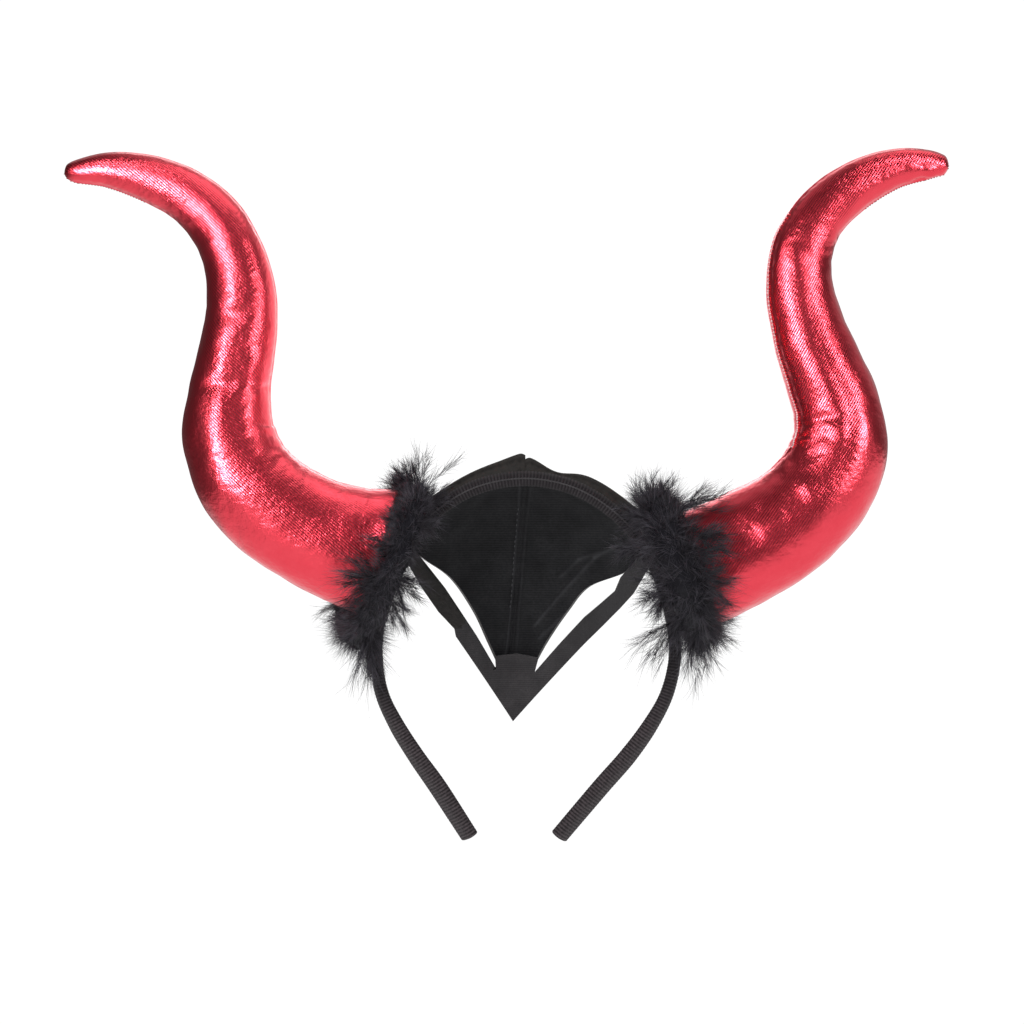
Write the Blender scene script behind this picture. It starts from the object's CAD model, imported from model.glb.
"""Ox horn headband, seen from behind the wearer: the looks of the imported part, in metres.

+X is to the right in the photograph, +Y is the wearer's front and +Z is up. The tables are in
millimetres. They follow the part's own sizes, and differ from them by a few millimetres where a
horn's base flares and along the chevron's right arm.
"""

import math

import bmesh
import bpy
import numpy as np
from mathutils import Matrix, Vector, noise


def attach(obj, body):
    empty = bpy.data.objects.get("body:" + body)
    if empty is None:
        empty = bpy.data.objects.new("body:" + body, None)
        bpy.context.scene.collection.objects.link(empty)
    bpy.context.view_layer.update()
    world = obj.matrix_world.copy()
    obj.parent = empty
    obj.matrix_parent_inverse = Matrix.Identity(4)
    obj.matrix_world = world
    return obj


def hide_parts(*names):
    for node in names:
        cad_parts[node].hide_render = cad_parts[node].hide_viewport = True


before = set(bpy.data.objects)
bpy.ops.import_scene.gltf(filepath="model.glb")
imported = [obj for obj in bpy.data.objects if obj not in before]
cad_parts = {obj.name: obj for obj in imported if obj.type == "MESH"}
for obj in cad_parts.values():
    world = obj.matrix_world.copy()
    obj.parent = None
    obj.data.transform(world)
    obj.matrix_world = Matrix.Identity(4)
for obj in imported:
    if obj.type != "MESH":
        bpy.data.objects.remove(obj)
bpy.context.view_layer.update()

MM = 0.001

# The photograph: the camera stands level with the band, 1.1 m behind it.
CAMERA_PLACE = (-4.0, -1100.0, -10.0)
CAMERA_LENS = 96.68
PHOTO_MIDDLE = 512
PHOTO_MM = 0.4

# The band from the left tip over the head to the right tip: x, z, thickness, turn in degrees.
# Its seam yarn runs from one row to another, and its knit's ribs lie across it.
BAND_WIDTH, BAND_HALF_THICK, BAND_CORNER = 12.0, 2.6, 0.62
SEAM_YARN_ROWS = (8.2, 13.8)
RIB_PITCH, RIB_DEPTH = 1.3, 0.3
BAND_ROWS = [
    (-20.6, -140.2, 4.6, 13), (-33.4, -120.4, 5.0, 13), (-42.4, -107.6, 5.0, 9),
    (-50.4, -94.8, 5.0, 5), (-56.2, -82.0, 5.0, 2), (-58.2, -67.0, 5.0, 1),
    (-56.9, -52.0, 5.0, 1), (-52.4, -36.0, 5.0, 2), (-44.6, -21.0, 5.2, 4),
    (-33.0, -8.6, 5.4, 6), (-17.6, 0.2, 5.6, 7), (1.0, 3.4, 5.6, 7),
    (19.6, 0.2, 5.6, 7), (35.0, -8.6, 5.4, 6), (46.8, -21.0, 5.2, 4),
    (54.8, -36.0, 5.0, 2), (59.6, -52.0, 5.0, 1), (61.2, -67.0, 5.0, 1),
    (58.2, -82.0, 5.0, 2), (51.6, -94.8, 5.0, 6), (42.4, -107.6, 5.0, 11),
    (31.2, -120.4, 5.0, 12), (14.4, -140.2, 4.6, 13),
]

# Each horn's middle line from the band to the tip: x, z, width between the side seams. From front
# to back it is a little thinner, and no thicker than twice HORN_DEEPEST.
HORN_DEPTH_SHARE, HORN_DEEPEST = 0.92, 21.8
LEFT_HORN_ROWS = [
    (-52.5, -27.6, 53.0), (-68.4, -23.8, 47.8), (-85.2, -16.8, 43.8), (-99.5, -8.1, 42.2),
    (-111.4, 4.8, 39.8), (-117.2, 20.4, 37.0), (-117.0, 35.4, 33.0), (-114.5, 52.0, 30.4),
    (-112.0, 72.8, 28.4), (-114.9, 91.2, 24.8), (-123.0, 106.6, 22.8), (-134.6, 117.0, 20.8),
    (-149.6, 123.6, 18.2), (-164.8, 126.8, 13.8), (-177.6, 126.2, 9.0), (-183.0, 125.2, 4.6),
]
RIGHT_HORN_ROWS = [
    (58.4, -37.5, 46.4), (76.8, -30.2, 45.6), (95.2, -21.0, 44.6), (110.0, -11.4, 42.6),
    (121.0, 1.4, 40.6), (126.8, 16.2, 38.6), (126.0, 30.4, 35.2), (121.0, 45.0, 33.0),
    (114.5, 62.6, 29.8), (111.0, 78.8, 26.4), (111.8, 94.2, 24.4), (119.2, 108.8, 21.8),
    (132.6, 120.0, 19.4), (148.6, 127.2, 15.6), (162.0, 129.0, 11.6), (170.6, 128.4, 6.4),
]

# Folds of the horns' cloth on the side that the photograph shows: half the width and the depth in
# mm, then the fold's line in the photograph's pixels. A depth below 0 is a swelling.
FOLDS_Y = -13
LEFT_HORN_FOLDS = [
    (3.2, 0.85, (196, 313), (216, 315), (230, 315), (252, 310)),
    (2.8, 0.80, (186, 388), (216, 384), (230, 384), (252, 378)),
    (5.0, -0.35, (223, 325), (221, 353), (220, 378)),
    (5.0, -0.40, (218, 390), (213, 421), (218, 456)),
    (3.4, 0.30, (240, 245), (241, 288), (240, 330), (235, 354), (230, 396), (233, 429),
     (256, 482)),
    (2.8, -0.20, (257, 278), (262, 305), (264, 336)),
    (2.8, -0.50, (261, 348), (246, 382)),
    (2.8, -0.25, (253, 392), (243, 434)),
    (1.6, 0.60, (250, 390), (266, 387), (280, 382)),
    (3.2, -0.30, (266, 394), (268, 424)),
    (2.6, 0.45, (254, 422), (273, 451), (290, 474)),
    (4.0, -0.70, (387, 518), (391, 550)), (3.4, 0.50, (194, 218), (206, 242)),
]
RIGHT_HORN_FOLDS = [
    (2.6, -0.40, (803, 418), (818, 411), (833, 409), (852, 412)),
    (2.2, 0.45, (800, 425), (820, 418), (840, 415)),
    (2.6, -0.35, (820, 424), (837, 427), (845, 442)),
    (2.4, 0.35, (804, 444), (822, 436), (834, 444)),
    (5.0, 0.60, (800, 436), (815, 460)),
    (3.6, -0.60, (800, 482), (818, 500)), (3.8, -0.60, (757, 534), (781, 516)),
    (3.6, -0.45, (722, 515), (760, 505)),
    (3.2, 0.45, (806, 310), (830, 367), (848, 400), (852, 422), (846, 445), (835, 490)),
    (1.8, 0.40, (918, 164), (934, 163), (950, 167)), (4.5, -0.50, (930, 174), (948, 168)),
    (2.0, 0.80, (918, 184), (930, 175)), (3.2, 0.35, (795, 236), (815, 266)),
]

# The chevron's outline (x, z) and the bend that lays it round the brow.
FELT = 2.0
BROW_FRONT, BROW_REAR, BROW_ROUND = 62.0, 7.3, 1.8
BROW_TIP_X, BROW_LEFT_X, BROW_RIGHT_X = -3.6, -50.0, 52.0
CHEVRON_OUTLINE = [
    (-49.8, -24.4), (-40.8, -41.2), (-34.4, -51.2), (-28.0, -58.6), (-27.4, -61.8), (-3.6, -98.4),
    (25.6, -65.4), (34.0, -56.4), (40.3, -49.4), (45.4, -43.2), (52.8, -29.4), (49.0, -26.0),
    (40.4, -36.8), (38.2, -42.4), (33.0, -47.4), (26.0, -53.8), (15.8, -65.4), (5.6, -77.5),
    (7.2, -71.4), (-2.0, -69.8), (-11.2, -70.8), (-10.8, -76.0), (-18.8, -62.0), (-31.8, -41.4),
    (-46.4, -21.6),
]

# The hood's two panels, each row from the seam to the rim: seam y and z, rim x, y and z, and how
# far the cloth swells forwards and lifts between them. The hem is a share of a panel's length.
WALL, PANEL_LENGTH, HEM_SHARE = 1.5, 61, 0.15
SEAM_X, SEAM_LEAN, SEAM_GAP = 1.4, 0.085, -0.02
LEFT_PANEL_ROWS = [
    (9.0, 12.4, -45.5, 8.6, -11.5, 0, 4.6), (8.3, 3.6, -43.5, 8.2, -19.0, 0, 6.6),
    (21.0, 3.4, -46.4, 20.4, -23.4, 5, 6.0), (33.0, -2.0, -40.4, 31.4, -29.3, 7, 4.0),
    (44.0, -14.0, -29.4, 46.2, -37.8, 6, 1.0), (54.4, -34.0, -20.2, 56.4, -51.6, 4, 0),
    (62.8, -54.0, -14.0, 61.4, -65.0, 2.2, 0), (64.3, -80.0, -8.0, 63.8, -78.4, 0.4, 0),
]
RIGHT_PANEL_ROWS = [
    (9.0, 11.2, 49.5, 8.6, -11.5, 0, 5.4), (8.3, 3.6, 46.5, 8.2, -20.0, 0, 6.6),
    (21.0, 3.4, 49.4, 18.4, -28.0, 5, 6.0), (33.0, -2.0, 42.0, 29.8, -35.0, 7, 4.0),
    (44.0, -14.0, 27.8, 46.2, -41.4, 6, 1.0), (54.4, -34.0, 19.2, 54.6, -52.0, 4, 0),
    (62.8, -54.0, 10.4, 60.8, -65.4, 2.2, 0), (64.3, -80.0, 3.4, 63.6, -79.0, 0.4, 0),
]

# The right panel's creases: both ends in the photograph's pixels, half the width and the height in
# mm.
CREASES_Y = 48
RIGHT_PANEL_CREASES = [
    (536, 626, 566, 590, 0.8, 0.45), (566, 590, 596, 556, 0.8, 0.45),
    (596, 556, 622, 541, 0.8, 0.45), (562, 576, 580, 558, 0.8, 0.40),
    (580, 558, 616, 546, 0.8, 0.40), (540, 640, 586, 596, 0.9, 0.40),
]

# The down trims: a soft ring round the base of each horn and loose fill in the corner between the
# ring and the band in front, each x, y, z and fullness, which is a share of the radius. Then the
# tufts: the root, the way the middle plume points, the plumes' length, their number, and the fan
# in degrees. No barb reaches further back than the rearmost.
LEFT_RING_RADIUS, RIGHT_RING_RADIUS = 7.0, 9.0
REARMOST_BARB = -51.0
LEFT_RING_ROWS = [
    (-42, 0, -3, 0.6), (-42.5, -18, -9, 1.0), (-49, -26, -28, 1.1), (-59, -21, -49, 1.0),
    (-65, 0, -59, 1.2), (-72, 19, -48, 0.8), (-66, 26, -26, 0.8), (-50, 17, -8, 0.6),
]
RIGHT_RING_ROWS = [
    (54, 0, -7, 0.7), (56, -18, -14, 1.3), (63, -26, -33, 1.35), (68, -21, -51, 1.15),
    (71, 0, -59, 0.75), (77, 19, -51, 0.8), (74, 26, -33, 0.8), (61, 17, -12, 0.6),
]
LEFT_FILL_ROWS = [
    (-47, 3, -1, 0.8), (-50, 13, -4, 0.9), (-52, 21, -14, 0.9), (-54, 24, -28, 0.8),
    (-58, 22, -42, 0.8), (-62, 11, -54, 0.7),
]
RIGHT_FILL_ROWS = [
    (52, 2, -5, 0.5), (53, 12, -10, 0.6), (56, 21, -20, 0.7), (60, 24, -33, 0.7),
    (65, 22, -47, 0.7), (69, 11, -58, 0.6),
]
LEFT_TUFT_ROWS = [
    (-41, -4, -3, -0.2, -0.1, 1, 22, 8, 60), (-38, -8, -7, 0.8, -0.3, 0.5, 14, 4, 32),
    (-42, -22, -16, 0.6, -0.8, 0.1, 15, 6, 75), (-42, -20, -12, 0.9, -0.4, -0.2, 13, 5, 60),
    (-54, -25, -36, -0.9, -0.4, -0.1, 25, 13, 34), (-50, -24, -24, -0.8, -0.5, 0.2, 14, 5, 50),
    (-50, -22, -36, 0.8, -0.3, -0.5, 19, 7, 44), (-52, -22, -44, 0.4, -0.4, -0.8, 18, 5, 40),
    (-61, -13, -55, 0.12, -0.2, -1, 28, 12, 15), (-65, -2, -56, -0.9, 0, -0.4, 13, 4, 45),
    (-60, -18, -50, -0.5, -0.4, -0.8, 16, 5, 45), (-72, 20, -47, -0.2, 0.9, -0.4, 16, 5, 60),
    (-66, 26, -26, 0, 1, 0.1, 15, 5, 70), (-48, 17, -8, 0.4, 0.9, 0.2, 14, 5, 60),
    (-58, 25, -26, 0.7, 0.6, 0, 17, 8, 55), (-60, 22, -42, 0.6, 0.6, -0.4, 16, 7, 55),
    (-52, 21, -10, 0.6, 0.6, 0.4, 15, 6, 55), (-48, 8, -1, -0.1, 0.4, 0.9, 11, 5, 60),
    (-48, -22, -13, -0.9, -0.4, 0.2, 10, 6, 60), (-44, -7, 1, -0.9, -0.2, 0.4, 12, 5, 45),
    (-45, 8, 0, -0.9, 0.2, 0.4, 12, 5, 45),
]
RIGHT_TUFT_ROWS = [
    (52, -6, -9, -0.4, -0.1, 1, 19, 7, 50), (62, -8, -9, 0.9, -0.2, 0.4, 25, 5, 22),
    (51, -14, -14, -0.9, -0.3, 0.3, 18, 7, 50), (52, -20, -24, -0.9, -0.4, 0, 15, 7, 60),
    (63, -25, -26, 0.8, -0.6, 0, 21, 6, 50), (66, -24, -44, 0.8, -0.5, -0.3, 20, 7, 45),
    (59, -22, -40, -0.8, -0.4, -0.3, 18, 8, 50), (61, -18, -52, -0.5, -0.3, -0.9, 24, 8, 34),
    (68, -14, -56, 0.1, -0.2, -1, 25, 5, 26), (73, 0, -56, 0.8, 0, -0.5, 15, 5, 45),
    (77, 20, -54, 0.2, 0.9, -0.4, 17, 5, 60), (74, 26, -32, 0, 1, 0.1, 16, 5, 70),
    (60, 17, -12, -0.3, 0.9, 0.3, 15, 5, 60), (66, 25, -31, -0.7, 0.6, 0, 17, 8, 55),
    (68, 22, -48, -0.6, 0.6, -0.4, 16, 7, 55), (60, 21, -15, -0.6, 0.6, 0.4, 15, 6, 55),
    (57, 8, -5, -0.2, 0.4, 0.9, 11, 5, 60), (56, -26, -42, -0.3, -0.7, -0.5, 15, 7, 65),
    (68, -28, -20, 0.9, -0.4, 0.1, 19, 7, 40), (70, -28, -36, 0.9, -0.4, -0.1, 19, 7, 45),
    (46, -14, -24, -0.8, -0.4, -0.3, 14, 6, 55),
]


def smooth_rows(rows, shares, closed=False):
    """A table's columns at shares of its length, on a smooth curve through all its rows."""
    rows = np.array(rows, float)
    spans = len(rows) if closed else len(rows) - 1
    place = np.asarray(shares, float) * spans
    first = np.clip(place.astype(int), 0, spans - 1)
    t = (place - first)[:, None]
    if closed:
        a, b, c, d = (rows[(first + k) % len(rows)] for k in (-1, 0, 1, 2))
    else:
        longer = np.vstack([2 * rows[0] - rows[1], rows, 2 * rows[-1] - rows[-2]])
        a, b, c, d = (longer[first + k] for k in range(4))
    leave, arrive = (c - a) / 2, (d - b) / 2
    return (
        (2 * t**3 - 3 * t**2 + 1) * b
        + (t**3 - 2 * t**2 + t) * leave
        + (3 * t**2 - 2 * t**3) * c
        + (t**3 - t**2) * arrive
    )


def length_shares(rows):
    """(shares, lengths) that match: how far along the curve each share of a table lies, in mm."""
    shares = np.linspace(0, 1, 2001)
    line = smooth_rows(rows, shares)[:, :2]
    steps = np.linalg.norm(np.diff(line, axis=0), axis=1)
    return shares, np.concatenate([[0], np.cumsum(steps)])


def unit(vectors):
    """Vectors of length 1."""
    return vectors / np.maximum(np.linalg.norm(vectors, axis=-1, keepdims=True), 1e-12)


def columns(*parts):
    """Arrays side by side, as the columns of one table."""
    return np.stack(parts, axis=1)


def lumps(points, size, seed):
    """Soft noise from -1 to 1 at points in mm, with lumps of about that size."""
    shift = Vector((seed * 17.3, seed * -9.1, seed * 5.7))
    return np.array([noise.noise(Vector(p) / size + shift) for p in points])


def photo_place(px, py, y):
    """x and z in mm of a pixel of the photograph, at a depth y."""
    scale = PHOTO_MM * (1 + y / -CAMERA_PLACE[1])
    x = (px - PHOTO_MIDDLE) * scale + CAMERA_PLACE[0]
    z = (PHOTO_MIDDLE - py) * scale + CAMERA_PLACE[2]
    return np.array([x, z])


def cloth_grid(sides, steps):
    """A bmesh sheet and its vertices' places across and along it, from 0 to 1."""
    bm = bmesh.new()
    bmesh.ops.create_grid(bm, x_segments=sides, y_segments=steps, size=0.5)
    places = np.array([v.co[:2] for v in bm.verts]) + 0.5
    return bm, places[:, 0], places[:, 1]


def put(bm, points):
    """Moves each vertex to its point, given in mm."""
    for v, p in zip(bm.verts, points):
        v.co = p * MM


def finished(bm, name, material, node=None, flat_faces=None):
    """The piece made of a bmesh: it rides on the one body and stands for its CAD node."""
    mesh = bpy.data.meshes.new(name)
    bm.to_mesh(mesh)
    bm.free()
    mesh.polygons.foreach_set("use_smooth", [True] * len(mesh.polygons))
    if flat_faces:
        mesh.set_sharp_from_angle(angle=math.radians(flat_faces))
    mesh.materials.append(material)
    piece = bpy.data.objects.new(name, mesh)
    bpy.context.scene.collection.objects.link(piece)
    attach(piece, "root")
    if node:
        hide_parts(node)
    return piece


def linear(colour):
    """A sRGB hex value as a linear colour."""
    parts = [int(colour[i:i + 2], 16) / 255 for i in (1, 3, 5)]
    return (*[p / 12.92 if p <= 0.04045 else ((p + 0.055) / 1.055) ** 2.4 for p in parts], 1.0)


def add(tree, kind, sockets, **settings):
    """Adds a node and gives its outputs. A socket takes a constant or another node's output."""
    made = tree.nodes.new("ShaderNode" + kind)
    for name, value in settings.items():
        setattr(made, name, value)
    for name, value in sockets.items():
        if isinstance(value, bpy.types.NodeSocket):
            tree.links.new(value, made.inputs[name])
        else:
            made.inputs[name].default_value = value
    return made.outputs


def calc(tree, operation, *values):
    """The outcome of a Math node."""
    return add(tree, "Math", dict(enumerate(values)), operation=operation)["Value"]


def ranged(tree, value, low, high, to_low=0.0, to_high=1.0):
    """A value carried from one range to another, and held between its ends."""
    return add(tree, "MapRange", {"Value": value, "From Min": low, "From Max": high,
                                  "To Min": to_low, "To Max": to_high})["Result"]


def mixed(tree, share, *colours):
    """A colour between two, each an output or a sRGB hex value."""
    first, second = (linear(c) if isinstance(c, str) else c for c in colours)
    return add(tree, "Mix", {0: share, 6: first, 7: second}, data_type="RGBA")[2]


def speckled(tree, place, scale, detail, roughness=0.5, distortion=0.0):
    """Noise with about that many specks in a metre."""
    return add(tree, "TexNoise", {"Vector": place, "Scale": scale, "Detail": detail,
                                  "Roughness": roughness, "Distortion": distortion})["Fac"]


def banded(tree, place, pitch, axis, profile, distortion, detail, detail_scale):
    """Bands across an axis with a pitch in mm, on coordinates in metres."""
    sockets = {"Vector": place, "Scale": math.tau / (20 * pitch * MM),
               "Distortion": distortion, "Detail": detail, "Detail Scale": detail_scale}
    return add(tree, "TexWave", sockets, wave_type="BANDS", bands_direction=axis,
               wave_profile=profile)["Fac"]


def painted(tree, layer):
    """(red, green) of a colour that is painted on the mesh."""
    colour = add(tree, "VertexColor", {}, layer_name=layer)["Color"]
    parts = add(tree, "SeparateColor", {"Color": colour})
    return parts["Red"], parts["Green"]


def object_place(tree):
    """The coordinates of the piece itself, in metres."""
    return add(tree, "TexCoord", {})["Object"]


def bumped(tree, height, strength, deep, under=None):
    """A surface's normal with relief that is so many mm deep, on top of another relief or none."""
    sockets = {"Height": height, "Strength": strength, "Distance": deep * MM}
    if under is not None:
        sockets["Normal"] = under
    return add(tree, "Bump", sockets)["Normal"]


def surfaced(material, sockets):
    """The material, ended with the shader that every piece has."""
    shader = add(material.node_tree, "BsdfPrincipled", sockets)
    add(material.node_tree, "OutputMaterial", {"Surface": shader["BSDF"]})
    return material


def new_material(name):
    """(material, its empty node tree)"""
    material = bpy.data.materials.new(name)
    material.use_nodes = True
    material.node_tree.nodes.clear()
    return material, material.node_tree


def lame_twill(name, turn, pucker):
    """Lame: polyester twill laminated with aluminium foil under red lacquer. The foil mirrors the
    studio in red, the lacquer's own gloss makes the brightest places pale, each rounded rib of
    the twill draws a reflection out into fine lines with dark grooves between them, and puckers
    fray its edges. The twill's turn is in degrees, and the puckers' depth in mm."""
    material, tree = new_material(name)
    weave = add(tree, "UVMap", {}, uv_map="weave")["UV"]
    along = add(tree, "Mapping",
                {"Vector": weave, "Rotation": (0, 0, math.radians(turn))})["Vector"]
    loose, _ = painted(tree, "slack")

    # Ribs 1 mm apart: the real ones are nearer 0.5 mm and too fine to show at this size. Each
    # groove between them is broken by the threads that cross it.
    ribs = banded(tree, along, 1, "X", "TRI", 0.35, 1, 1.5)
    groove = ranged(tree, ribs, 0.05, 0.52, 1, 0)
    crossing = ranged(tree, speckled(tree, weave, 700, 2, 0.7), 0.35, 0.55, 0.45, 1)
    shown = calc(tree, "MULTIPLY", calc(tree, "MULTIPLY", groove, crossing), loose)

    wear = speckled(tree, weave, 140, 3, 0.6)
    foil = mixed(tree, wear, "#F34C5B", "#E43A4A")
    tint = mixed(tree, shown, foil, "#741322")
    dull = ranged(tree, wear, 0.3, 0.7, 0.28, 0.305)
    lacquer = calc(tree, "MULTIPLY_ADD", shown, -0.3, 0.32)

    # Relief: puckers of the laminate, then ribs with uneven floats of thread along them.
    frayed = bumped(tree, speckled(tree, weave, 320, 3, 0.6), 1, pucker)
    floats = banded(tree, along, 1.9, "Y", "SIN", 1.2, 1, 2)
    uneven = calc(tree, "MULTIPLY_ADD", speckled(tree, weave, 900, 1), 2.5, floats)
    hollow = calc(tree, "POWER", calc(tree, "SUBTRACT", 1, ribs), 2.5)
    height = calc(tree, "SUBTRACT", calc(tree, "MULTIPLY", uneven, 0.15), hollow)
    normal = bumped(tree, calc(tree, "MULTIPLY", height, loose), 1, 0.07, frayed)
    return surfaced(material, {
        "Base Color": tint, "Metallic": 1, "Roughness": dull, "Normal": normal,
        "Coat Weight": lacquer, "Coat Roughness": 0.25, "Coat Normal": normal})


def ribbed_knit():
    """Black cotton rib knit: matt yarn with a faint fuzz that catches light on the ribs."""
    material, tree = new_material("ribbed_cotton_knit")
    place = object_place(tree)
    crest, arm = painted(tree, "crest")
    fuzz = speckled(tree, place, 1600, 3, 0.7)
    yarn = mixed(tree, calc(tree, "MULTIPLY", fuzz, crest), "#221F21", "#6E686C")
    worn = mixed(tree, speckled(tree, place, 260, 2), yarn, "#2A2729")
    # On the arms the cover is stretched: its ribs open into single loops 1.3 mm apart.
    loops = add(tree, "TexVoronoi", {"Vector": place, "Scale": 770.0}, feature="F1")["Distance"]
    furrow = calc(tree, "MULTIPLY_ADD", crest, -0.8, 0.8)
    gaps = calc(tree, "MULTIPLY_ADD", ranged(tree, loops, 0.1, 0.7), 0.35, furrow)
    thin = mixed(tree, gaps, "#5E5659", "#2B2729")
    return surfaced(material, {
        "Base Color": mixed(tree, arm, worn, thin), "Roughness": 0.9,
        "Specular IOR Level": 0.2, "Sheen Weight": 0.05, "Sheen Roughness": 0.5,
        "Normal": bumped(tree, fuzz, 0.6, 0.2)})


def napped(tree, fine, soft, rows, share, dark, light):
    """(height, colour) of a napped cloth: fine specks on soft clouds, with faint rows across."""
    place = object_place(tree)
    nap = calc(tree, "MULTIPLY", speckled(tree, place, *fine), speckled(tree, place, *soft))
    pitch, wavy = rows
    lines = banded(tree, place, pitch, "Z", "SIN", wavy, 2, 2)
    spread = ranged(tree, calc(tree, "MULTIPLY_ADD", lines, share, nap), 0.12, 0.55)
    return nap, mixed(tree, spread, dark, light)


def brushed_cloth():
    """The hood's inside: brushed polyester knit, a soft even black with small pills and creases."""
    material, tree = new_material("brushed_polyester_lining")
    # Courses of the knit 1 mm apart, drawn coarser than the real ones so that they show.
    nap, black = napped(tree, (900, 4, 0.7), (90, 3), (1, 1.5), 0.16, "#1E1E20",
                        "#38383A")
    # The nap is rubbed paler along the folds and beside the seam.
    rubbed, _ = painted(tree, "rubbed")
    return surfaced(material, {
        "Base Color": mixed(tree, rubbed, black, "#6A6A6E"), "Roughness": 0.85,
        "Specular IOR Level": 0.25, "Normal": bumped(tree, nap, 0.5, 0.3)})


def coated_cloth():
    """The hood's outside and hem: cloth coated with polyurethane and embossed like fine leather,
    so it has a low satin gloss broken by pebbled grain."""
    material, tree = new_material("polyurethane_coated_cloth")
    place = object_place(tree)
    pebbles = add(tree, "TexVoronoi", {"Vector": place, "Scale": 1100.0},
                  feature="DISTANCE_TO_EDGE")["Distance"]
    creases = speckled(tree, place, 420, 3, distortion=1.2)
    height = calc(tree, "MULTIPLY_ADD", creases, 2, pebbles)
    return surfaced(material, {
        "Base Color": mixed(tree, creases, "#262627", "#4A4643"),
        "Roughness": ranged(tree, creases, 0.3, 0.7, 0.38, 0.6),
        "Normal": bumped(tree, height, 0.6, 0.2)})


def charcoal_felt():
    """Pressed polyester felt: matt charcoal, with fibres that lie every way and a faint mottle."""
    material, tree = new_material("pressed_polyester_felt")
    # Rows of the needling 0.9 mm apart.
    nap, grey = napped(tree, (1100, 5, 0.75, 1.5), (160, 3), (0.9, 1.2), 0.14, "#343234",
                       "#504D4F")
    # The photograph shows the right arm darker: a nap that lies away from the eye would do that.
    across = add(tree, "SeparateXYZ", {"Vector": object_place(tree)})["X"]
    laid = mixed(tree, ranged(tree, across, 0.010, 0.028, 0, 0.9), grey, "#292729")
    return surfaced(material, {
        "Base Color": laid, "Roughness": 0.95, "Specular IOR Level": 0.15, "Sheen Weight": 0.2,
        "Sheen Roughness": 0.6, "Normal": bumped(tree, nap, 0.8, 0.4)})


def marabou_down():
    """Dyed turkey marabou: fine black barbs with a soft gloss, a few faded to brown or blue."""
    material, tree = new_material("dyed_marabou_down")
    shade, fade = painted(tree, "dye")
    black = mixed(tree, shade, "#201F24", "#7A767F")
    colour = mixed(tree, fade, black, "#3A3228")
    return surfaced(material, {"Base Color": colour, "Roughness": 0.6, "Specular IOR Level": 0.25})


def sewing_thread(name, light, dark):
    """Spun polyester sewing thread: matt, with a twist that shows as fine light and dark."""
    material, tree = new_material(name)
    twist = speckled(tree, object_place(tree), 2500, 2)
    return surfaced(material, {"Base Color": mixed(tree, twist, dark, light), "Roughness": 0.7})


def seen_white(tree, mirrored):
    """A brightness that is plain white to the camera, and dimmer where the pieces mirror it."""
    path = add(tree, "LightPath", {})
    return add(tree, "Mix", {0: path["Is Camera Ray"], 2: mirrored, 3: 1.05},
               data_type="FLOAT")[0]


def white_sweep():
    """The studio's white acrylic table, lit from below: plain white, and dimmer to the far left,
    where a black card stands."""
    material, tree = new_material("white_acrylic_table")
    across = add(tree, "SeparateXYZ", {"Vector": object_place(tree)})["X"]
    card = ranged(tree, across, -0.80, -0.40, 0.10, 0.95)
    glow = add(tree, "Emission",
               {"Color": linear("#FFFFFF"), "Strength": seen_white(tree, card)})
    add(tree, "OutputMaterial", {"Surface": glow["Emission"]})
    return material


def make_camera():
    lens = bpy.data.cameras.new("camera")
    lens.lens = CAMERA_LENS
    lens.sensor_width = 36
    camera = bpy.data.objects.new("camera", lens)
    camera.location = Vector(CAMERA_PLACE) * MM
    camera.rotation_euler = (math.radians(90), 0, 0)
    bpy.context.scene.collection.objects.link(camera)
    bpy.context.scene.camera = camera


def make_light(name, place, aim, size, radiance, shown_in):
    """A soft box or card of a size in metres that shines with that brightness towards a point.
    One that is shown in a collection is seen only by the gloss of its pieces. One that isn't is
    seen by no gloss."""
    lamp = bpy.data.lights.new(name, "AREA")
    lamp.shape = "RECTANGLE"
    lamp.size, lamp.size_y = size
    lamp.energy = radiance * math.pi * size[0] * size[1]
    box = bpy.data.objects.new(name, lamp)
    box.location = place
    box.rotation_euler = (Vector(aim) - Vector(place)).to_track_quat("-Z", "Y").to_euler()
    box.visible_camera = False
    box.visible_diffuse, box.visible_glossy = shown_in is None, shown_in is not None
    if shown_in is not None:
        box.light_linking.receiver_collection = shown_in
    bpy.context.scene.collection.objects.link(box)


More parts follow.
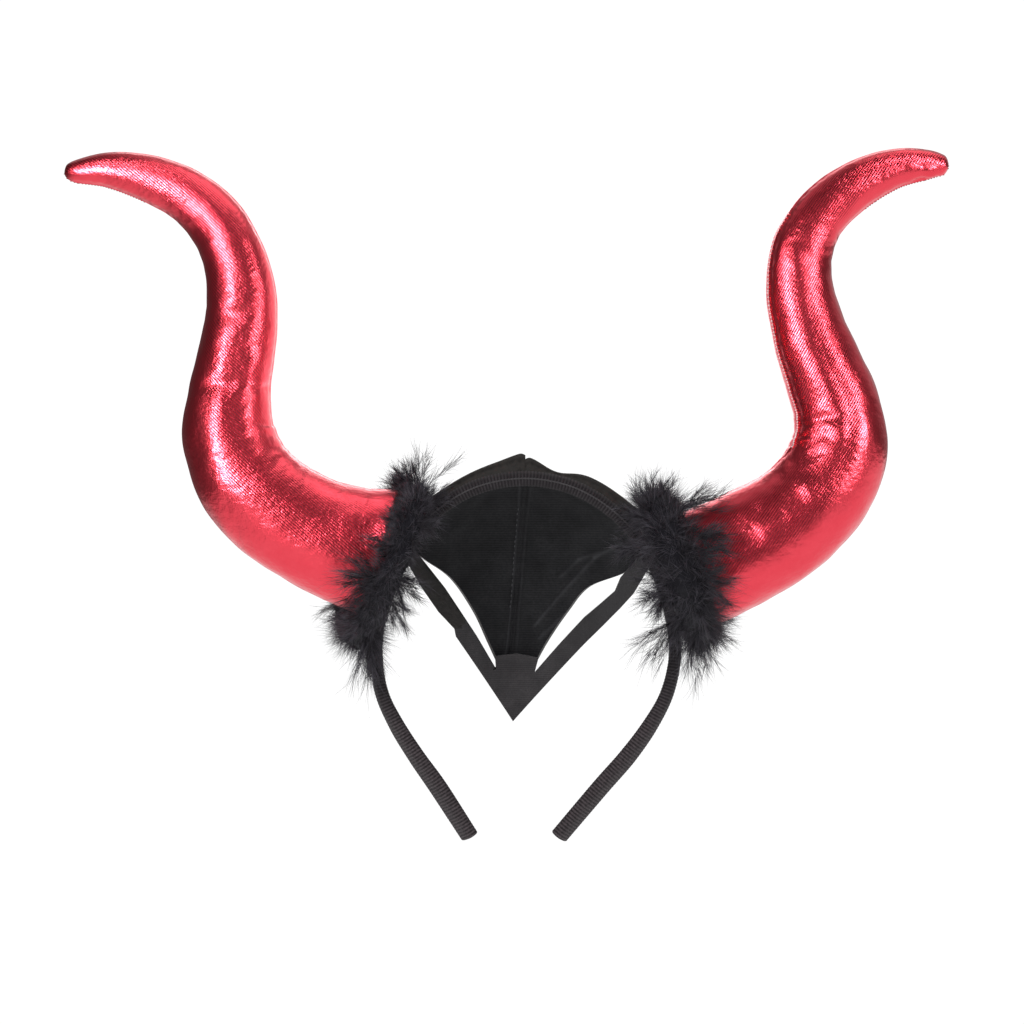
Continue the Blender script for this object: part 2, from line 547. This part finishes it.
def make_studio():
    """A white table, boxes and cards for the horns' gloss, one soft light, and a dim room. Gives
    the collections of both horns, the left one and the right one."""
    bm = bmesh.new()
    bmesh.ops.create_grid(bm, x_segments=8, y_segments=8, size=3.0)
    bmesh.ops.translate(bm, verts=bm.verts, vec=(0, 2.4, -0.30))
    mesh = bpy.data.meshes.new("table")
    bm.to_mesh(mesh)
    bm.free()
    mesh.materials.append(white_sweep())
    table = bpy.data.objects.new("table", mesh)
    bpy.context.scene.collection.objects.link(table)

    # Boxes make the foil's compact highlights, from beside the camera, overhead and in front.
    # Cards make its dimmer stripes. Only the last light reaches the black pieces.
    both, left, right = (bpy.data.collections.new(n) for n in ("horns", "left_horn", "right_horn"))
    for light in (
        ("box_left", (-0.50, -0.75, 0.13), (0, 0, 0.03), (0.24, 0.42), 35.0, both),
        ("box_right", (0.70, -0.60, 0.20), (0, 0, 0.03), (0.09, 0.40), 50.0, both),
        ("box_top_left", (-0.35, -0.45, 0.62), (-0.30, 0, 0.10), (0.26, 0.05), 36.0, left),
        ("card_over_left", (0.30, 0.10, 0.70), (-0.09, 0, -0.02), (0.35, 0.35), 1.3, left),
        ("box_top_right", (0.35, -0.45, 0.62), (0.30, 0, 0.10), (0.26, 0.05), 36.0, right),
        ("card_over_right", (-0.30, 0.10, 0.70), (0.09, 0, -0.02), (0.35, 0.35), 0.5, right),
        ("card_base", (0.06, -0.15, 0.64), (-0.07, 0, -0.02), (0.24, 0.52), 2.1, left),
        ("card_tip", (0.28, 0.05, 0.62), (0.14, 0, 0.12), (0.35, 0.42), 1.1, right),
        ("card_low", (-0.30, -0.85, -0.22), (-0.09, 0, -0.02), (0.60, 0.22), 0.95, left),
        ("card_behind", (0, 0.80, 0.60), (0, 0, 0), (0.6, 0.6), 1.0, both),
        ("card_for_left", (0.35, 0.45, 0.05), (-0.115, 0, 0.05), (0.9, 0.7), 1.0, left),
        ("card_for_right", (-0.185, 0.52, 0.05), (0.115, 0, 0.05), (0.5, 0.7), 0.8, right),
        ("box_front", (0, 1.2, 0.30), (0, 0, 0.05), (0.40, 0.60), 1.6, both),
        ("soft_front", (-0.45, -1.3, 0.75), (0, 0, -0.02), (1.2, 1.0), 5.0, None),
    ):
        make_light(*light)

    # The backdrop is bright from the right round to the back, and the rest of the room is dark.
    world = bpy.data.worlds.new("studio")
    world.use_nodes = True
    tree = world.node_tree
    tree.nodes.clear()
    way = add(tree, "TexCoord", {})["Generated"]
    facing = add(tree, "VectorMath", {0: way, 1: (0.35, 0.60, 0.72)}, operation="DOT_PRODUCT")
    room = ranged(tree, facing["Value"], 0.62, 0.80, 0.07, 0.40)
    sky = add(tree, "Background",
              {"Color": linear("#FFFFFF"), "Strength": seen_white(tree, room)})
    add(tree, "OutputWorld", {"Surface": sky["Background"]})
    bpy.context.scene.world = world
    bpy.context.scene.view_settings.view_transform = "Standard"
    return both, left, right


def hill(away, wide):
    """A smooth hill: 1 in its middle, and almost 0 at twice its half width."""
    return np.exp(-((away / wide) ** 2))


def ramp(value, low, high):
    """0 as far as low, 1 from high on, and even between them."""
    return np.clip((value - low) / (high - low), 0, 1)


def tube(rows, sides, steps, ends, end_steps, first=0.0, last=1.0):
    """A sheet to roll up along a table's line, from one share of it to another, with both ends
    rounded off. Gives the bmesh, and for each vertex the share of the way round, the place along
    in mm, the share of the girth, the table's row, and the line's tangent, normal and bend."""
    bm, across, down = cloth_grid(sides, steps)
    shares, lengths = length_shares(rows)
    start, stop = np.interp((first, last), shares, lengths)
    turn = np.linspace(0, math.pi / 2, end_steps + 1)[:-1]
    middle = np.linspace(ends[0], stop - start - ends[1], steps + 1 - 2 * end_steps)
    places = start + np.concatenate([ends[0] * (1 - np.cos(turn)), middle,
                                     stop - start - ends[1] * (1 - np.cos(turn[::-1]))])
    girth = np.concatenate([np.sin(turn), np.ones(len(middle)), np.sin(turn[::-1])])
    at, nearby = np.interp(places, lengths, shares), 1e-3
    ahead, behind = (smooth_rows(rows, np.clip(at + d, 0, 1)) for d in (nearby, -nearby))
    tangent = unit((ahead - behind)[:, :2])
    out = columns(-tangent[:, 1], tangent[:, 0])
    bend = np.gradient(np.unwrap(np.arctan2(tangent[:, 1], tangent[:, 0])), places)
    row = np.rint(down * steps).astype(int)
    each = (places, girth, smooth_rows(rows, at), tangent, out, bend)
    return bm, across, *(part[row] for part in each)


def close_up(bm, near=1e-6):
    """Joins a sheet's edges where they meet, and turns its faces outwards."""
    bmesh.ops.remove_doubles(bm, verts=bm.verts, dist=near)
    bmesh.ops.recalc_face_normals(bm, faces=bm.faces)


def doubled(bm):
    """Adds a second layer to a sheet, joined all round, and gives its vertices."""
    made = bmesh.ops.extrude_face_region(bm, geom=list(bm.faces), use_keep_orig=True)
    return [g for g in made["geom"] if isinstance(g, bmesh.types.BMVert)]


def paint(bm, layer, tones):
    """Paints a share from 0 to 1 on each vertex."""
    colour = bm.verts.layers.float_color.new(layer)
    for v, tone in zip(bm.verts, tones):
        v[colour] = (tone, 0, 0, 1)


def make_stitches(name, spots, ways, length, girth, thread):
    """Short stitches in a row, each a bead of thread drawn out along its seam; sizes in mm."""
    bm = bmesh.new()
    for spot, way in zip(spots, ways):
        turn = Vector(way).to_track_quat("X", "Z").to_matrix().to_4x4()
        size = Matrix.Diagonal((length / 2, girth / 2, girth / 2, 1))
        bmesh.ops.create_icosphere(bm, subdivisions=1, radius=MM,
                                   matrix=Matrix.Translation(Vector(spot) * MM) @ turn @ size)
    finished(bm, name, thread)


def from_fold(flat, corners):
    """(distance in mm, share of the fold's length) of places from a fold through some corners."""
    spans = [np.linalg.norm(b - a) for a, b in zip(corners, corners[1:])]
    far, shares, gone = np.full(len(flat), 1e9), np.zeros(len(flat)), 0.0
    for a, b, span in zip(corners, corners[1:], spans):
        run = np.clip(((flat - a) @ (b - a)) / span**2, 0, 1)
        away = np.linalg.norm(flat - a - run[:, None] * (b - a), axis=1)
        nearer = away < far
        far = np.where(nearer, away, far)
        shares = np.where(nearer, (gone + run * span) / sum(spans), shares)
        gone += span
    return far, shares


def make_horn(name, rows, folds, twill, seam_lean, stitched, pinch, seed):
    """A stuffed tube of two cloth halves. The angle runs from the front over the seam that lies
    above the middle line's left, round the back to the other seam."""
    sides, steps, rounded = 180, 380, (3.0, 2.2)
    bm, across, place, full, line, tangent, out, bend = tube(rows, sides, steps, rounded, 10)
    angle = across * math.tau
    half = line[:, 2] / 2
    # The base flares sideways only: from front to back it stays as thick as the first bend, or
    # the trim pinches it.
    thick = (half + HORN_DEEPEST - np.sqrt((half - HORN_DEEPEST) ** 2 + 1.5)) / 2
    thick *= 1 - pinch * ramp(place, 70, 0) ** 1.5
    sideways, forwards = np.sin(angle), np.cos(angle)
    normal = unit(columns(out[:, 0] * sideways, forwards / HORN_DEPTH_SHARE, out[:, 1] * sideways))
    points = columns(line[:, 0] + out[:, 0] * sideways * half * full,
                     forwards * thick * HORN_DEPTH_SHARE * full,
                     line[:, 1] + out[:, 1] * sideways * half * full)

    # The stuffing makes soft lumps, and the cloth gathers on the inside of each bend.
    stuffed = np.clip(half / 16, 0.15, 1.0) * full
    rise = stuffed * (0.55 * lumps(points, 21, seed) + 0.30 * lumps(points, 9, seed + 1))
    inner = np.clip(bend * sideways * half - 0.05, 0, 0.6)
    wander = lumps(points, 14, seed + 2)
    rise += 0.25 * inner * np.sin(math.tau * place / 9.5 + 4 * wander) * full

    # The folds that the photograph shows, on the rear half.
    rear = ramp(-forwards, 0.02, 0.37)
    for wide, deep, *corners in folds:
        away, run = from_fold(points[:, [0, 2]], [photo_place(*c, FOLDS_Y) for c in corners])
        rise -= deep * hill(away, wide) * np.sin(math.pi * run) ** 0.6 * rear

    # The two seams: a thin ridge between two puckered hollows.
    for middle, tilt in ((math.pi / 2, seam_lean), (-math.pi / 2, 0.0)):
        lean = tilt * ramp(place, 60, 90) * ramp(place, 215, 175)
        turn = (angle - middle - lean + math.pi) % math.tau - math.pi
        away = np.abs(turn) * half
        pucker = 0.65 + 0.35 * np.sin(math.tau * place / 4.6 + 3 * wander)
        rise += full * (0.25 * hill(away, 0.7) - 0.18 * pucker * hill(away - 1.9, 1.1))
    points = points + normal * rise[:, None]
    put(bm, points)

    # The cloth is pulled tight, and its ribs are flat, on the outside of the first bend, under the
    # tip and beside the seams.
    outer = sideways * (1 if rows[-1][0] < 0 else -1) + 0.10 * wander
    tight_from = np.interp(place, [80, 125, 195, 225], [0.22, 0.70, 0.66, 0.05])
    slack = ramp(tight_from - outer, -0.12, 0.12) * ramp(outer, -0.84, -0.64)

    # Each half is cut flat: its weave runs from the middle line out to the seams.
    quarter = math.pi / 2
    turn = (angle + quarter) % math.tau - quarter
    arc = np.where(turn <= quarter, turn, math.pi - turn) * half
    flat = line[:, :2] + out * arc[:, None]
    paint(bm, "slack", slack)
    layer = bm.loops.layers.uv.new("weave")
    bm.verts.index_update()
    for face in bm.faces:
        for loop in face.loops:
            loop[layer].uv = flat[loop.vert.index] * MM
    close_up(bm)
    piece = finished(bm, name + "_cover", lame_twill("red_lame_twill_" + name, *twill),
                     name)

    # The stitches that show along the seams. A thick thread stands up a little.
    pitch, length, thinnest = 1.3, 0.8, 0.5
    for k, (side, lean, first, last, thread, thread_girth) in enumerate(stitched):
        far = np.abs(angle - side * quarter - lean - (0 if side > 0 else math.tau)) * half
        spots = [np.argmin(far + np.abs(place - at)) for at in np.arange(first, last, pitch)]
        make_stitches(name + "_stitches_" + str(k),
                      points[spots] + normal[spots] * (thread_girth - thinnest),
                      np.insert(tangent[spots], 1, 0, axis=1), length, thread_girth, thread)
    return piece


def squared(wave):
    """A cosine or sine of the turn round the band, drawn out towards the strip's corners."""
    return np.sign(wave) * np.abs(wave) ** BAND_CORNER


def on_band(line, out, wide, thick, lean):
    """Points in mm from places across the band's strip and out from it, where it leans."""
    sideways = wide * np.cos(lean) - thick * np.sin(lean)
    outwards = wide * np.sin(lean) + thick * np.cos(lean)
    return columns(line[:, 0] + out[:, 0] * outwards, sideways,
                   line[:, 1] + out[:, 1] * outwards)


def make_headband():
    """The knit cover: ribs across a strip with rounded edges, and tucked square tips."""
    ribs = round(length_shares(BAND_ROWS)[1][-1] / RIB_PITCH)
    sides, steps, rounded = 32, 4 * ribs, (1.0, 1.0)
    bm, across, place, girth, line, _, out, _ = tube(BAND_ROWS, sides, steps, rounded, 4)
    full = girth**0.5

    # Points spaced evenly round the strip, from the middle of its inner face.
    turns = np.linspace(-math.pi / 2, 1.5 * math.pi, 4001)
    outline = columns(squared(np.cos(turns)) * BAND_WIDTH / 2,
                      squared(np.sin(turns)) * BAND_HALF_THICK)
    gone = np.concatenate([[0], np.cumsum(np.linalg.norm(np.diff(outline, axis=0), axis=1))])
    angle = np.interp(across * gone[-1], gone, turns)
    crest = np.abs(np.sin(math.pi * place / RIB_PITCH))
    arm = ramp(line[:, 1], -58, -98)
    grow = RIB_DEPTH * (1 - 0.7 * arm) * (crest - 0.75) + 0.15 * arm
    wide = squared(np.cos(angle)) * (BAND_WIDTH / 2 + grow) * full
    thick = squared(np.sin(angle)) * (line[:, 2] / 2 + grow) * full
    # The cover twists a little more than its spring towards the tips.
    lean = np.radians(line[:, 3] + 11 * arm)
    put(bm, on_band(line, out, wide, thick, lean))
    colour = bm.loops.layers.color.new("crest")
    bm.verts.index_update()
    for face in bm.faces:
        for loop in face.loops:
            loop[colour] = (crest[loop.vert.index], arm[loop.vert.index], 0, 1)
    close_up(bm)
    finished(bm, "headband_cover", ribbed_knit(), "headband")

    # The cover's seam: one raised yarn along the rear edge, over the head.
    sides, steps, rounded = 6, ribs, (0.4, 0.4)
    reach = (r / (len(BAND_ROWS) - 1) for r in SEAM_YARN_ROWS)
    bm, across, place, girth, line, _, out, _ = tube(BAND_ROWS, sides, steps, rounded, 3, *reach)
    yarn = 0.42 * girth * (0.8 + 0.2 * np.sin(math.tau * place / RIB_PITCH))
    wide = -BAND_WIDTH / 2 + 0.1 + yarn * np.cos(across * math.tau)
    thick = 0.7 + yarn * np.sin(across * math.tau)
    put(bm, on_band(line, out, wide, thick, np.radians(line[:, 3])))
    close_up(bm)
    seam_yarn = sewing_thread("grey_overlock_yarn", "#5A5759", "#363436")
    finished(bm, "headband_seam_yarn", seam_yarn)


def make_panel(name, rows, side, creases, lining, coating, seed):
    """One half of the hood: a cloth wall with a brushed inside and a coated outside."""
    sides, steps = 90, 150
    bm, across, down = cloth_grid(sides, steps)
    down = 1 - down
    small = 1e-3

    def layer(right, below):
        """The wall's middle, at a shift to the rim and to the tip from each vertex's place."""
        share = np.clip(across + right, 0, 1)[:, None]
        table = smooth_rows(rows, np.clip(down + below, 0, 1))
        seam_x = SEAM_X + SEAM_LEAN * np.minimum(0, table[:, 1]) + side * SEAM_GAP
        seam = columns(seam_x, table[:, 0], table[:, 1])
        swell = columns(np.zeros(len(table)), table[:, 5], table[:, 6])
        return seam + (table[:, 2:5] - seam) * share + swell * (4 * share * (1 - share))

    middle = layer(0, 0)
    from_seam = np.linalg.norm(middle - layer(-1, 0), axis=1)
    # The hem has a small rounded peak beside the seam, and on the right a dip after it.
    peak = 1.5 * hill(from_seam, 8.0) - 1.1 * ramp(from_seam, 2.4, 0) ** 2
    if side > 0:
        peak -= 3.4 * hill(middle[:, 0] - 14.0, 8.5)
    middle[:, 2] += ramp(down, 0.14, 0) * peak
    to_rim = layer(small, 0) - layer(-small, 0)
    to_tip = layer(0, small) - layer(0, -small)
    face = unit(np.cross(to_rim, to_tip)) * side
    face[across < small, 0] = 0
    face = unit(face)

    # The cloth isn't quite even, and it creases where the hood was folded flat.
    edge = np.clip(np.minimum(across, 1 - across) * 12, 0, 1)
    inside = ramp(down, 0.17, 0.20)
    rubbed = (0.10 - 0.05 * side) * hill(from_seam - 2.6, 0.8) * inside
    rise = edge * (0.30 * lumps(middle, 9, seed) + 0.12 * lumps(middle, 3.5, seed + 1))
    patchy = 1 + lumps(middle, 7, seed + 3)
    for px0, py0, px1, py1, wide, high in creases:
        ends = [photo_place(px0, py0, CREASES_Y), photo_place(px1, py1, CREASES_Y)]
        crease = high * hill(from_fold(middle[:, [0, 2]], ends)[0], wide)
        rise += crease * ramp(down, 0.2, 0.3) * edge
        rubbed += 0.3 * crease * inside * patchy
    paint(bm, "rubbed", np.clip(rubbed, 0, 1))

    outer = doubled(bm)
    bm.verts.index_update()
    count = len(middle)
    order = {v.co.to_tuple(5): i for i, v in enumerate(bm.verts) if i < count}
    outside = [order[v.co.to_tuple(5)] for v in outer]
    # The seam's allowance lies doubled beside it, and the seam itself is drawn in.
    allowance = 0.4 * hill(from_seam - 2.7, 0.9) - 0.9 * ramp(from_seam, 1.7, 0.8)
    # The hem is rolled once and stitched down, and puckers a little along the stitches.
    from_hem = down * PANEL_LENGTH
    pucker = 0.18 * np.sin(from_seam * math.tau / 3.6 + 3 * lumps(middle, 9, seed + 2))
    roll = 0.45 * hill(from_hem - 1.3, 0.9) + (pucker - 0.25) * hill(from_hem - 3.0, 0.6)
    inner_points = middle - face * (WALL / 2 + inside * allowance + rise + roll)[:, None]
    outer_points = middle + face * (WALL / 2 - 0.6 * rise + roll)[:, None]
    for i, v in enumerate(bm.verts):
        if i < count:
            v.co = inner_points[i] * MM
    for v, i in zip(outer, outside):
        v.co = outer_points[i] * MM
    bmesh.ops.recalc_face_normals(bm, faces=bm.faces)
    for f in bm.faces:
        seen = sum(v.index < count for v in f.verts)
        hem = all(down[v.index] < HEM_SHARE for v in f.verts if v.index < count)
        f.material_index = 0 if seen == len(f.verts) and not hem else 1
    piece = finished(bm, name + "_cloth", lining, name, flat_faces=50)
    piece.data.materials.append(coating)

    # Topstitches show beside the seam on the left panel, below the hem.
    if side < 0:
        grey = sewing_thread("grey_topstitch_thread", "#6E6E72", "#404044")
        top, bottom, pitch, from_edge = -8.0, -50.0, 2.3, 2.9
        far = np.abs(from_seam - from_edge) + 99 * (down < 0.22)
        spots = [np.argmin(far + np.abs(middle[:, 2] - z)) for z in np.arange(top, bottom, -pitch)]
        make_stitches(name + "_topstitches", inner_points[spots] - face[spots] * 0.1,
                      to_tip[spots], 1.5, 0.4, grey)
    return piece


def make_chevron(coating):
    """The felt V with its tongue, cut flat and bent round the brow, with softened edges."""
    bm = bmesh.new()
    bm.faces.new([bm.verts.new((x, 0, z)) for x, z in CHEVRON_OUTLINE])
    step = 1.4
    for axis, low, high in (((1, 0, 0), -50, 53), ((0, 0, 1), -99, -21)):
        for k in range(1, int((high - low) / step)):
            at = Vector(axis) * (low + k * step)
            bmesh.ops.bisect_plane(bm, geom=bm.verts[:] + bm.edges[:] + bm.faces[:],
                                   plane_co=at, plane_no=axis)
    bmesh.ops.remove_doubles(bm, verts=bm.verts, dist=0.02)
    bmesh.ops.translate(bm, verts=doubled(bm), vec=(0, FELT, 0))
    for v in bm.verts:
        side = BROW_LEFT_X if v.co.x < BROW_TIP_X else BROW_RIGHT_X
        share = min(1.0, (v.co.x - BROW_TIP_X) / (side - BROW_TIP_X))
        v.co.y += BROW_REAR - FELT / 2 + (BROW_FRONT - BROW_REAR) * (1 - share**BROW_ROUND)
        v.co.y += 0.12 * noise.noise(v.co / 7)
        v.co *= MM
    bmesh.ops.recalc_face_normals(bm, faces=bm.faces)
    piece = finished(bm, "brow_chevron_felt", charcoal_felt(), "brow_chevron",
                     flat_faces=50)
    # The left arm's upper end is a strip of the hood's coated cloth.
    piece.data.materials.append(coating)
    for f in piece.data.polygons:
        down_arm = 0.59 * f.center.x - 0.81 * f.center.z
        if down_arm < 32.0 * MM and f.center.x < -15.0 * MM:
            f.material_index = 1
    soft = piece.modifiers.new("soft_edge", "BEVEL")
    soft.width, soft.segments, soft.limit_method = 0.4 * MM, 2, "ANGLE"
    soft.angle_limit = math.radians(55)
    return piece


def clear_of_horn(points, rows, room):
    """Points pushed out to the skin of a horn where they lie inside it, with some room."""
    stations = smooth_rows(rows, np.linspace(0, 1, 60))
    centre = columns(stations[:, 0], np.zeros(len(stations)), stations[:, 1])
    nearest = np.argmin(((points[:, None, :] - centre[None]) ** 2).sum(2), axis=1)
    out = points - centre[nearest]
    girth = stations[nearest, 2] / 2
    rounder = out.copy()
    rounder[:, 1] *= girth / (np.minimum(girth, HORN_DEEPEST) * HORN_DEPTH_SHARE)
    reach = np.linalg.norm(rounder, axis=1)
    inside = (reach < girth + room) & (nearest > 2)
    moved = points.copy()
    push = (girth + room) / np.maximum(reach, 1e-6)
    moved[inside] = (centre[nearest] + out * push[:, None])[inside]
    return moved


def spun_barbs(roots, ways, bends, sizes, girths, stations, horn_rows, rng):
    """(vertices, faces) of thin three-sided needles that curve from their roots to a point."""
    count = len(roots)
    rearwards = np.minimum((ways + bends)[:, 1:2], -1e-6)
    sizes = np.minimum(sizes, (REARMOST_BARB - roots[:, 1:2]) / rearwards)
    spots = []
    for t in np.linspace(0, 1, stations):
        spot = roots + ways * sizes * t + bends * sizes * t * t
        spots.append(clear_of_horn(spot, horn_rows, 0.6 + 1.2 * t))
    spots = columns(*spots)
    heading = unit(spots[:, -1] - spots[:, 0])
    sidewards = unit(np.cross(heading, rng.normal(0, 1, (count, 3))))
    upwards = np.cross(heading, sidewards)
    turns = np.arange(3) * math.tau / 3
    loops = (
        np.cos(turns)[None, None, :, None] * sidewards[:, None, None, :]
        + np.sin(turns)[None, None, :, None] * upwards[:, None, None, :]
    )
    rings = stations - 1
    thin = 1 - 0.55 * (np.arange(rings) / rings) ** 1.5
    skin = spots[:, :rings, None, :] + loops * (girths[:, None] * thin[None])[:, :, None, None]
    vertices = np.concatenate([skin.reshape(count, 3 * rings, 3), spots[:, rings:]], axis=1)
    faces = [(0, 2, 1)]
    for s in range(rings - 1):
        for c in range(3):
            d = (c + 1) % 3
            faces.append((3 * s + c, 3 * s + d, 3 * s + 3 + d))
            faces.append((3 * s + c, 3 * s + 3 + d, 3 * s + 3 + c))
    last = 3 * rings
    faces += [(last - 3 + c, last - 3 + (c + 1) % 3, last) for c in range(3)]
    apart = (last + 1) * np.arange(count)[:, None, None]
    return vertices.reshape(-1, 3), (np.array(faces)[None] + apart).reshape(-1, 3)


def wisps(table, barbs, spread, rng):
    """(roots, ways, bends, lengths, girths, dyes) of barbs in pointed locks. Each row of the
    table is a lock: its root, way, length and girth."""
    table = np.repeat(np.array(table), barbs, axis=0)
    count = len(table)
    dye = np.repeat(rng.random(count // barbs) ** 2, barbs)
    roots = table[:, 0:3] + rng.normal(0, 0.4, (count, 3))
    ways = unit(table[:, 3:6] + rng.normal(0, spread, (count, 3)))
    bends = rng.normal(0, 0.2, (count, 3)) + (0, 0, -0.05)
    sizes = table[:, 6:7] * rng.uniform(0.55, 1.0, (count, 1))
    girths = table[:, 7] * rng.uniform(0.7, 1.2, count)
    shade = dye * 0.6 + 0.4 * rng.random(count)
    fade = np.maximum(0, rng.random(count) - 0.85) * 4
    return roots, ways, bends, sizes, girths, columns(shade, fade, 0 * fade, 0 * fade + 1)


def plume_locks(tuft_rows, rng):
    """The locks of a trim's plumes: each tuft is a fan of plumes, with locks all up each quill."""
    locks, per_quill, girth = [], 12, 0.07
    golden = math.pi * (3 - math.sqrt(5))
    for x, y, z, to_x, to_y, to_z, length, number, fan in tuft_rows:
        middle = Vector((to_x, to_y, to_z)).normalized()
        side = Vector((0, 1, 0)).cross(middle).normalized()
        for i in range(number):
            tilt = math.radians(fan) * math.sqrt(i / (number - 1))
            way = Matrix.Rotation(tilt, 3, side) @ middle
            way = np.array(Matrix.Rotation(i * golden, 3, middle) @ way)
            reach = length * (1 - 0.25 * (i % 3) / 2)
            quill = rng.normal(0, 0.15, 3)
            for k in range(per_quill):
                t = 0.05 + 0.75 * (k / (per_quill - 1))
                root = np.array((x, y, z)) + way * reach * t * 0.8 + quill * reach * t * t
                splay = rng.normal(0, 1, 3)
                splay -= way * (splay @ way)
                splay = unit(splay) * rng.uniform(0.2, 0.9) * (1 - 0.6 * t)
                long = reach * rng.uniform(0.35, 0.65)
                locks.append([*root, *unit(way + splay), long, girth])
    return locks


def fluff_locks(ring_rows, radius, fill_rows, rng):
    """The locks of a trim's short fluff, all round its ring and down its fill."""
    number, girth = 3000, 0.09
    ring = smooth_rows(ring_rows, np.linspace(0, 1, 400, endpoint=False), True)
    places = np.concatenate([ring, smooth_rows(fill_rows, np.linspace(0, 1, 110))])
    locks = []
    for _ in range(number):
        at = places[rng.integers(0, len(places))]
        way = unit(rng.normal(0, 1, 3))
        flow = unit(way + rng.normal(0, 0.45, 3))
        reach = radius * at[3]
        locks.append([*(at[:3] + way * reach * 0.6), *flow, reach * rng.uniform(0.8, 1.7), girth])
    return locks


def make_trim(name, ring_rows, radius, fill_rows, tuft_rows, horn_rows, down_material, seed):
    """A cord of marabou: a dark core, plumes that fan out of it in tufts, and short fluff."""
    rng = np.random.default_rng(seed)
    plumes = plume_locks(tuft_rows, rng)
    fluff = fluff_locks(ring_rows, radius, fill_rows, rng)
    vertices, faces, tones = [], [], []
    start = 0
    for table, barbs, spread, stations in ((plumes, 6, 0.10, 3), (fluff, 8, 0.25, 2)):
        *spun, dyes = wisps(table, barbs, spread, rng)
        points, corners = spun_barbs(*spun, stations, horn_rows, rng)
        vertices.append(points)
        faces += (corners + start).tolist()
        tones.append(np.repeat(dyes, len(points) // len(dyes), axis=0))
        start += len(points)

    # The core is the cord that the barbs are spun into.
    sides, steps = 16, 120
    core, across, down = cloth_grid(sides, steps)
    table = smooth_rows(ring_rows, down, True)
    line, full = table[:, :3], table[:, 3:]
    ahead = smooth_rows(ring_rows, (down + 1e-3) % 1, True)[:, :3]
    tangent = unit(ahead - line)
    middle = np.mean(np.array(ring_rows, float), axis=0)[:3]
    outward = unit((line - middle) - tangent * ((line - middle) * tangent).sum(1)[:, None])
    other = np.cross(tangent, outward)
    turn = across[:, None] * math.tau
    shell = line + radius * 0.7 * full * (outward * np.cos(turn) + other * np.sin(turn))
    shell += 1.2 * columns(*(lumps(shell, 5, seed + k) for k in range(3)))
    put(core, clear_of_horn(shell, horn_rows, 0.5))
    close_up(core, 1e-5)
    core.verts.index_update()
    vertices.append(np.array([v.co for v in core.verts]) / MM)
    faces += [[v.index + start for v in f.verts] for f in core.faces]
    tones.append(np.tile((0.0, 0.0, 0.0, 1.0), (len(core.verts), 1)))
    core.free()

    mesh = bpy.data.meshes.new(name + "_spun")
    mesh.from_pydata((np.concatenate(vertices) * MM).tolist(), [], faces)
    dye = mesh.color_attributes.new("dye", "FLOAT_COLOR", "POINT")
    dye.data.foreach_set("color", np.concatenate(tones).ravel())
    bm = bmesh.new()
    bm.from_mesh(mesh)
    bpy.data.meshes.remove(mesh)
    finished(bm, name + "_down", down_material, name)


make_camera()
horns, left_set, right_set = make_studio()
red_thread = sewing_thread("red_sewing_thread", "#C23444", "#8A1C2C")
pale_thread = sewing_thread("pale_sewing_thread", "#FFFFFF", "#FFD8DC")
left_horn = make_horn(
    "horn_left", LEFT_HORN_ROWS, LEFT_HORN_FOLDS, twill=(-48, 0.35), seam_lean=0.0,
    stitched=[(1, 0.0, 205, 262, red_thread, 0.5)], pinch=0.2, seed=3,
)
right_horn = make_horn(
    "horn_right", RIGHT_HORN_ROWS, RIGHT_HORN_FOLDS, twill=(33, 0.30), seam_lean=0.35,
    stitched=[(1, 0.35, 84, 182, pale_thread, 0.8), (-1, 0.0, 205, 262, red_thread, 0.5)],
    pinch=0.0, seed=8,
)
for shown_in, piece in ((horns, left_horn), (horns, right_horn), (left_set, left_horn),
                        (right_set, right_horn)):
    shown_in.objects.link(piece)
make_headband()
lining, coating = brushed_cloth(), coated_cloth()
left_panel = make_panel("front_panel_left", LEFT_PANEL_ROWS, -1, [], lining, coating, seed=11)
right_panel = make_panel("front_panel_right", RIGHT_PANEL_ROWS, 1, RIGHT_PANEL_CREASES, lining,
                         coating, seed=15)
chevron = make_chevron(coating)
down_material = marabou_down()
make_trim("feather_trim_left", LEFT_RING_ROWS, LEFT_RING_RADIUS, LEFT_FILL_ROWS, LEFT_TUFT_ROWS,
          LEFT_HORN_ROWS, down_material, seed=21)
make_trim("feather_trim_right", RIGHT_RING_ROWS, RIGHT_RING_RADIUS, RIGHT_FILL_ROWS,
          RIGHT_TUFT_ROWS, RIGHT_HORN_ROWS, down_material, seed=22)
